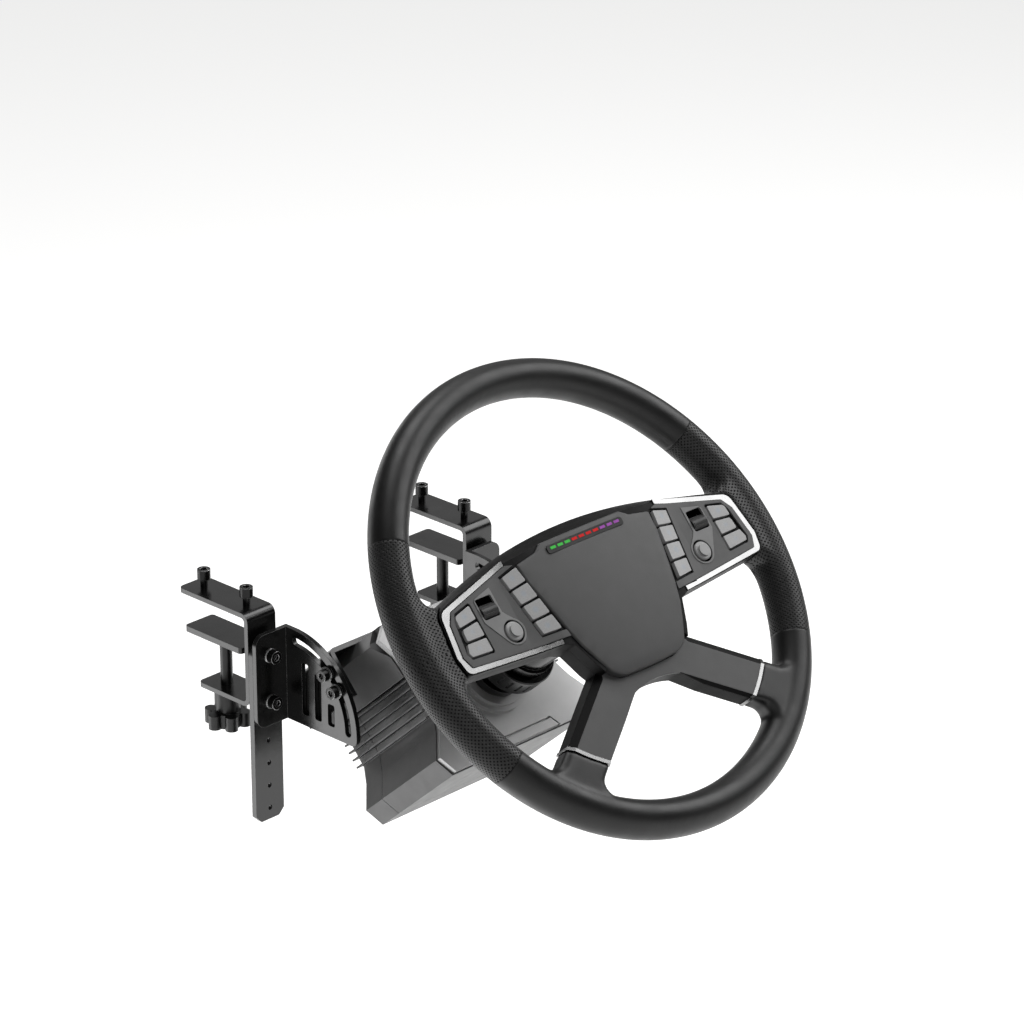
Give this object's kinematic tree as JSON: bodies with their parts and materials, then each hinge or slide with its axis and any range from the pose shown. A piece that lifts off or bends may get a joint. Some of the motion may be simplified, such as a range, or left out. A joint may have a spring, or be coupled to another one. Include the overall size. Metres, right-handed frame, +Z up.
{
  "type": "desk-mounted racing wheel",
  "caption": "Racing wheel with truck-style four-spoke rim, button wings, quick release, direct-drive base and tilting desk clamp brackets",
  "frame": {"origin": "midway between the two desk clamps, on the line where the undersides of their top plates meet the inner faces of their webs, so on the top front edge of the desk they hold", "axes": "+X to the driver's right, +Y away from the driver over the desk, +Z up"},
  "size_m": [0.4, 0.4673, 0.3863],
  "materials": {
    "black_steel": "semi-gloss black powder coat",
    "dark_screws": "blackened",
    "base_metal": "dark satin coating",
    "machined_metal": "black anodised",
    "magnet_steel": "ground",
    "circuit_board": "satin",
    "socket_plastic": "matte",
    "leather_smooth": "fine grain",
    "leather_perforated": "fine grain with small holes",
    "gloss_black": "glossy",
    "slate_plastic": "fine satin texture",
    "pad_plastic": "fine satin texture",
    "bright_trim": "bright satin",
    "button_grey": "satin, lit from behind",
    "black_plastic": "matte",
    "core_metal": "as cast",
    "light_lens": "glossy smoked",
    "light_segments": "lit green, red and violet"
  },
  "bodies": {
    "desk_mount": {"clamp_bracket_left": "black_steel", "clamp_bracket_right": "black_steel", "support_bar_left": "black_steel", "support_bar_right": "black_steel", "quadrant_plate_left": "black_steel", "quadrant_plate_right": "black_steel", "mount_screws": "dark_screws"},
    "tilting_base": {"cradle": "black_steel", "tilt_bolts": "dark_screws", "base_screws": "dark_screws", "base_housing": "base_metal", "base_front_plate": "base_metal", "base_flap": "base_metal", "base_rear_cover": "base_metal", "base_sockets": "socket_plastic", "control_board": "circuit_board", "motor_stator": "magnet_steel", "shaft_bearings": "magnet_steel"},
    "wheel": {"motor_rotor": "magnet_steel", "release_barrel": "machined_metal", "wheel_adapter": "machined_metal", "rim_core": "core_metal", "rim_grip_smooth_top": "leather_smooth", "rim_grip_smooth_bottom": "leather_smooth", "rim_grips_perforated": "leather_perforated", "hub_rear_shell": "gloss_black", "hub_front_shell": "gloss_black", "spoke_face": "slate_plastic", "silver_trims": "bright_trim", "centre_pad": "pad_plastic", "light_bar_lens": "light_lens", "light_segments": "light_segments", "wing_panel_left": "slate_plastic", "wing_panel_right": "slate_plastic", "chrome_trims": "bright_trim", "control_inserts": "gloss_black", "button_board": "circuit_board"},
    "quick_release_collar": {"release_collar": "machined_metal"},
    "clamp_jaw_left": {"clamp_pressure_plate_left": "black_steel"},
    "clamp_spindle_left": {"clamp_screw_left": "black_plastic"},
    "clamp_jaw_right": {"clamp_pressure_plate_right": "black_steel"},
    "clamp_spindle_right": {"clamp_screw_right": "black_plastic"},
    "button_left_inner_1_body": {"button_left_inner_1": "button_grey"},
    "button_left_inner_2_body": {"button_left_inner_2": "button_grey"},
    "button_left_inner_3_body": {"button_left_inner_3": "button_grey"},
    "button_left_inner_4_body": {"button_left_inner_4": "button_grey"},
    "button_left_outer_1_body": {"button_left_outer_1": "button_grey"},
    "button_left_outer_2_body": {"button_left_outer_2": "button_grey"},
    "button_left_outer_3_body": {"button_left_outer_3": "button_grey"},
    "roller_left": {"control_roller_left": "black_plastic"},
    "knob_left": {"control_knob_left": "black_plastic"},
    "button_right_inner_1_body": {"button_right_inner_1": "button_grey"},
    "button_right_inner_2_body": {"button_right_inner_2": "button_grey"},
    "button_right_inner_3_body": {"button_right_inner_3": "button_grey"},
    "button_right_inner_4_body": {"button_right_inner_4": "button_grey"},
    "button_right_outer_1_body": {"button_right_outer_1": "button_grey"},
    "button_right_outer_2_body": {"button_right_outer_2": "button_grey"},
    "button_right_outer_3_body": {"button_right_outer_3": "button_grey"},
    "roller_right": {"control_roller_right": "black_plastic"},
    "knob_right": {"control_knob_right": "black_plastic"}
  },
  "joints": [
    {"name": "base_tilt", "type": "hinge", "parent": "desk_mount", "child": "tilting_base", "pos_m": [0, -0.02075, -0.0847], "axis": [-1, 0, 0], "range_deg": [-32, 37]},
    {"name": "wheel_turn", "type": "hinge", "parent": "tilting_base", "child": "wheel", "pos_m": [0, -0.25, 0.055], "axis": [0, -0.7431, 0.6691], "continuous": true},
    {"name": "collar_pull", "type": "slide", "parent": "wheel", "child": "quick_release_collar", "axis": [0, 0.7431, -0.6691], "range_m": [0, 0.006], "stiffness_N_per_m": 900, "springref_m": -0.004},
    {"name": "clamp_jaw_left_slide", "type": "slide", "parent": "desk_mount", "child": "clamp_jaw_left", "axis": [0, 0, 1], "range_m": [-0.039, 0]},
    {"name": "clamp_spindle_left_turn", "type": "hinge", "parent": "clamp_jaw_left", "child": "clamp_spindle_left", "pos_m": [-0.1224, 0.039, 0], "axis": [0, 0, 1], "range_deg": [-9360, 0]},
    {"name": "clamp_jaw_right_slide", "type": "slide", "parent": "desk_mount", "child": "clamp_jaw_right", "axis": [0, 0, 1], "range_m": [-0.039, 0]},
    {"name": "clamp_spindle_right_turn", "type": "hinge", "parent": "clamp_jaw_right", "child": "clamp_spindle_right", "pos_m": [0.1224, 0.039, 0], "axis": [0, 0, 1], "range_deg": [-9360, 0]},
    {"name": "button_left_inner_1_press", "type": "slide", "parent": "wheel", "child": "button_left_inner_1_body", "axis": [0, 0.7431, -0.6691], "range_m": [0, 0.0015], "stiffness_N_per_m": 800, "springref_m": -0.001},
    {"name": "button_left_inner_2_press", "type": "slide", "parent": "wheel", "child": "button_left_inner_2_body", "axis": [0, 0.7431, -0.6691], "range_m": [0, 0.0015], "stiffness_N_per_m": 800, "springref_m": -0.001},
    {"name": "button_left_inner_3_press", "type": "slide", "parent": "wheel", "child": "button_left_inner_3_body", "axis": [0, 0.7431, -0.6691], "range_m": [0, 0.0015], "stiffness_N_per_m": 800, "springref_m": -0.001},
    {"name": "button_left_inner_4_press", "type": "slide", "parent": "wheel", "child": "button_left_inner_4_body", "axis": [0, 0.7431, -0.6691], "range_m": [0, 0.0015], "stiffness_N_per_m": 800, "springref_m": -0.001},
    {"name": "button_left_outer_1_press", "type": "slide", "parent": "wheel", "child": "button_left_outer_1_body", "axis": [0, 0.7431, -0.6691], "range_m": [0, 0.0015], "stiffness_N_per_m": 800, "springref_m": -0.001},
    {"name": "button_left_outer_2_press", "type": "slide", "parent": "wheel", "child": "button_left_outer_2_body", "axis": [0, 0.7431, -0.6691], "range_m": [0, 0.0015], "stiffness_N_per_m": 800, "springref_m": -0.001},
    {"name": "button_left_outer_3_press", "type": "slide", "parent": "wheel", "child": "button_left_outer_3_body", "axis": [0, 0.7431, -0.6691], "range_m": [0, 0.0015], "stiffness_N_per_m": 800, "springref_m": -0.001},
    {"name": "roller_left_turn", "type": "hinge", "parent": "wheel", "child": "roller_left", "pos_m": [-0.1172, -0.24827, 0.0774], "axis": [1, 0, 0], "continuous": true},
    {"name": "knob_left_turn", "type": "hinge", "parent": "wheel", "child": "knob_left", "pos_m": [-0.1054, -0.26396, 0.06192], "axis": [0, -0.7431, 0.6691], "continuous": true},
    {"name": "button_right_inner_1_press", "type": "slide", "parent": "wheel", "child": "button_right_inner_1_body", "axis": [0, 0.7431, -0.6691], "range_m": [0, 0.0015], "stiffness_N_per_m": 800, "springref_m": -0.001},
    {"name": "button_right_inner_2_press", "type": "slide", "parent": "wheel", "child": "button_right_inner_2_body", "axis": [0, 0.7431, -0.6691], "range_m": [0, 0.0015], "stiffness_N_per_m": 800, "springref_m": -0.001},
    {"name": "button_right_inner_3_press", "type": "slide", "parent": "wheel", "child": "button_right_inner_3_body", "axis": [0, 0.7431, -0.6691], "range_m": [0, 0.0015], "stiffness_N_per_m": 800, "springref_m": -0.001},
    {"name": "button_right_inner_4_press", "type": "slide", "parent": "wheel", "child": "button_right_inner_4_body", "axis": [0, 0.7431, -0.6691], "range_m": [0, 0.0015], "stiffness_N_per_m": 800, "springref_m": -0.001},
    {"name": "button_right_outer_1_press", "type": "slide", "parent": "wheel", "child": "button_right_outer_1_body", "axis": [0, 0.7431, -0.6691], "range_m": [0, 0.0015], "stiffness_N_per_m": 800, "springref_m": -0.001},
    {"name": "button_right_outer_2_press", "type": "slide", "parent": "wheel", "child": "button_right_outer_2_body", "axis": [0, 0.7431, -0.6691], "range_m": [0, 0.0015], "stiffness_N_per_m": 800, "springref_m": -0.001},
    {"name": "button_right_outer_3_press", "type": "slide", "parent": "wheel", "child": "button_right_outer_3_body", "axis": [0, 0.7431, -0.6691], "range_m": [0, 0.0015], "stiffness_N_per_m": 800, "springref_m": -0.001},
    {"name": "roller_right_turn", "type": "hinge", "parent": "wheel", "child": "roller_right", "pos_m": [0.1172, -0.24827, 0.0774], "axis": [1, 0, 0], "continuous": true},
    {"name": "knob_right_turn", "type": "hinge", "parent": "wheel", "child": "knob_right", "pos_m": [0.1054, -0.26396, 0.06192], "axis": [0, -0.7431, 0.6691], "continuous": true}
  ],
  "couplings": [
    {"joint": "clamp_spindle_left_turn", "follows": "clamp_jaw_left_slide", "rad_per_m": 4188.8},
    {"joint": "clamp_spindle_right_turn", "follows": "clamp_jaw_right_slide", "rad_per_m": 4188.8}
  ]
}
